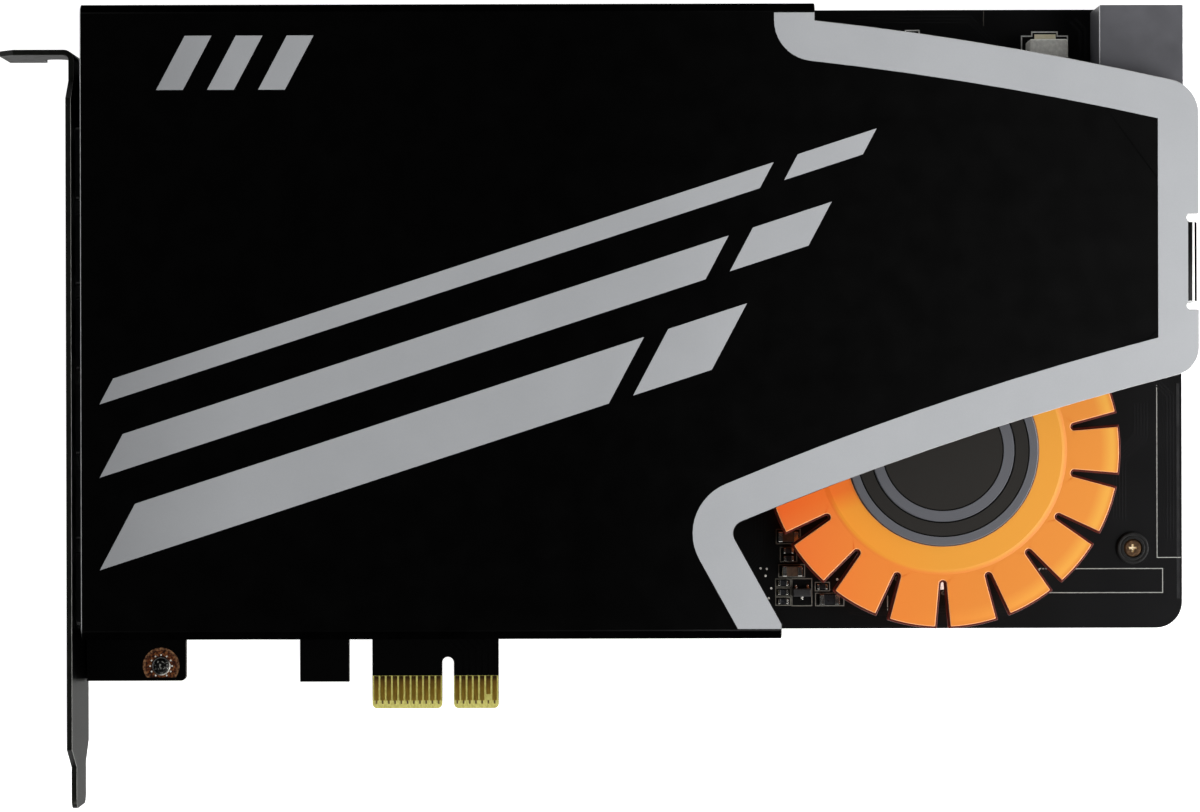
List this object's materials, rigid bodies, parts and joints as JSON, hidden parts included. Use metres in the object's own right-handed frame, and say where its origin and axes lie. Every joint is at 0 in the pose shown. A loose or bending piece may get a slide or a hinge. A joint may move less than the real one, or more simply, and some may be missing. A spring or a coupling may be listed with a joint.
{
  "type": "sound card",
  "caption": "Full-length audio expansion card with short contact edge, steel bracket, folded shield cover, slotted translucent light disc on a hub, power inlet and round audio jacks.",
  "frame": {"origin": "centreline of the key notch on the insertion edge, at half the board's thickness", "axes": "+X along the board away from the bracket, +Y from the contact edge to the top edge, +Z out of the component side"},
  "size_m": [0.1891, 0.1271, 0.0184],
  "materials": {
    "board_mask": "satin black solder mask",
    "gold": "polished",
    "copper": "satin",
    "bracket_black": "semi-gloss black plating",
    "cover_black": "satin black",
    "print_grey": "satin print",
    "steel": "satin",
    "black_screw": "blackened",
    "standoff_brass": "satin nickel",
    "disc_orange": "translucent, lit from below",
    "hub_dark": "satin",
    "ring_grey": "satin",
    "black_plastic": "satin",
    "tin": "bright tin",
    "chip_black": "matte",
    "can_metal": "bright",
    "film_red": "gloss",
    "relay_ivory": "satin",
    "inductor_grey": "matte",
    "resistor_black": "gloss",
    "ceramic_tan": "matte",
    "light_white": "gloss"
  },
  "bodies": {
    "root": {"amplifier_chip": "chip_black", "audio_jack_1": "black_plastic", "audio_jack_2": "black_plastic", "audio_jack_3": "black_plastic", "audio_jack_4": "black_plastic", "audio_jack_5": "black_plastic", "audio_jack_6": "black_plastic", "audio_processor": "chip_black", "bracket": "bracket_black", "bracket_screws": "black_screw", "bridge_chip": "chip_black", "ceramic_capacitors": "ceramic_tan", "circuit_board": "board_mask", "collar_screws": "black_screw", "converter_chip": "chip_black", "corner_nut": "steel", "corner_screw": "copper", "corner_washer": "black_plastic", "coupling_capacitors": "can_metal", "cover_print": "print_grey", "cover_screws": "black_screw", "cover_standoffs": "standoff_brass", "crystals": "can_metal", "disc_collar": "black_plastic", "edge_contacts_back": "gold", "edge_contacts_front": "gold", "film_capacitors": "film_red", "filter_capacitors": "can_metal", "ground_pad": "copper", "header_pins": "gold", "hub_cap": "hub_dark", "hub_ring_inner": "ring_grey", "hub_ring_outer": "ring_grey", "insert_nuts": "steel", "jack_contacts_1": "tin", "jack_contacts_2": "tin", "jack_contacts_3": "tin", "jack_contacts_4": "tin", "jack_contacts_5": "tin", "jack_contacts_6": "tin", "jack_rings": "gold", "light_disc": "disc_orange", "memory_chip": "chip_black", "op_amps": "chip_black", "panel_header": "black_plastic", "power_connector": "black_plastic", "power_inductors": "inductor_grey", "power_pins": "tin", "rear_capacitors": "ceramic_tan", "regulators": "chip_black", "relay_1": "relay_ivory", "relay_2": "relay_ivory", "relay_3": "relay_ivory", "resistors": "resistor_black", "ring_lights": "light_white", "shield_cover": "cover_black", "transistors": "chip_black"}
  },
  "joints": []
}
